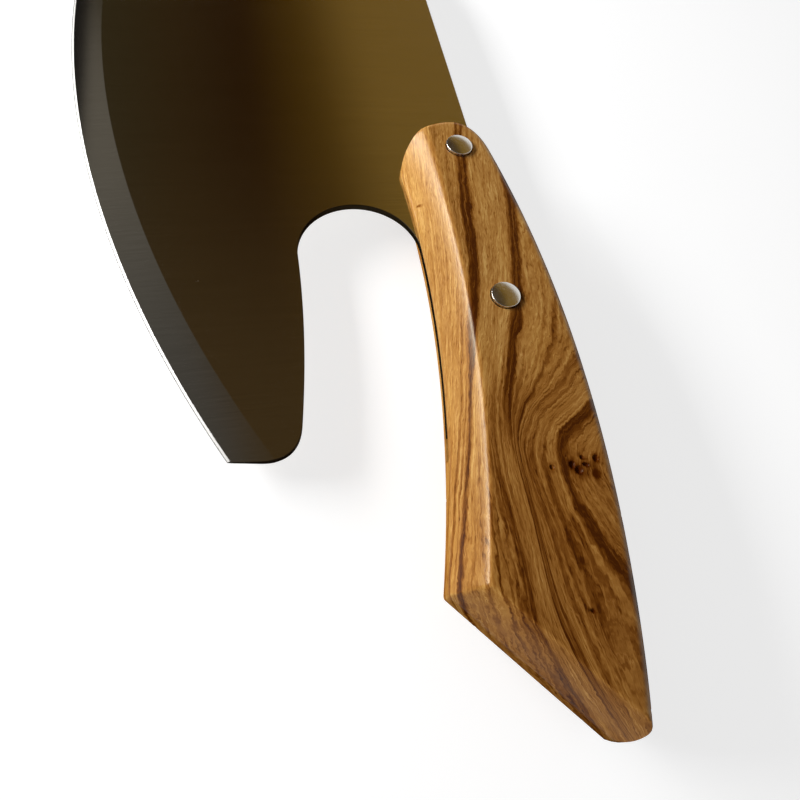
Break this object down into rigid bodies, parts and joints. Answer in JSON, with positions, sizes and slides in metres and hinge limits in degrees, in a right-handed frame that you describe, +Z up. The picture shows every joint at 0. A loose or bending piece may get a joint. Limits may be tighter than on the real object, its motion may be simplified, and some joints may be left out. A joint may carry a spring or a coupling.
{
  "type": "pizza rocker knife",
  "caption": "One-hand rocker knife for pizza: tall curved steel blade with a finger notch behind the heel and a faceted one-piece wooden handle, riveted through its tang.",
  "frame": {"origin": "under the middle of the knife's box, as it lies on its side", "axes": "+X from the handle's butt to the blade's tip, +Y from the spine to the cutting edge, +Z up through the thickness of the blade"},
  "size_m": [0.278, 0.0976, 0.0202],
  "materials": {
    "blade_steel": "satin brushed stainless steel, with a ground band along the edge",
    "handle_wood": "oiled olive wood with dark streaks",
    "rivet_steel": "polished steel"
  },
  "bodies": {
    "root": {"blade": "blade_steel", "handle": "handle_wood", "front_rivet_stud": "rivet_steel", "front_rivet_tube": "rivet_steel", "rear_rivet_stud": "rivet_steel", "rear_rivet_tube": "rivet_steel"}
  },
  "joints": []
}
